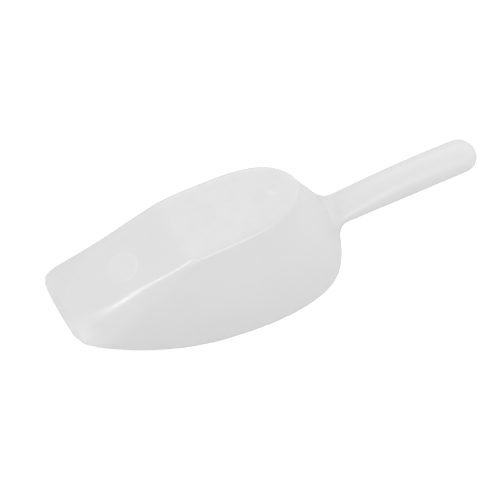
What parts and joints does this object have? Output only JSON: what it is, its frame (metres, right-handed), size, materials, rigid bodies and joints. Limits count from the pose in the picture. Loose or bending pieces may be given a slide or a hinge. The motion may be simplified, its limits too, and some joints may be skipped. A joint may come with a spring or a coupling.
{
  "type": "ice scoop",
  "caption": "Flat-bottomed moulded scoop with splayed sides, a ramp down to a straight lip and a rounded grip, for ice and dry goods.",
  "frame": {"origin": "centre of the footprint, in the plane of the rim; the scoop lies face down on its rim", "axes": "+Z out of the bowl's flat bottom, +X from the lip to the end of the handle, symmetric about the XZ plane"},
  "size_m": [0.25, 0.0944, 0.0525],
  "materials": {
    "white_plastic": "smooth moulded polypropylene, soft gloss, slightly translucent"
  },
  "bodies": {
    "root": {"scoop_body": "white_plastic", "handle_cover": "white_plastic"}
  },
  "joints": []
}
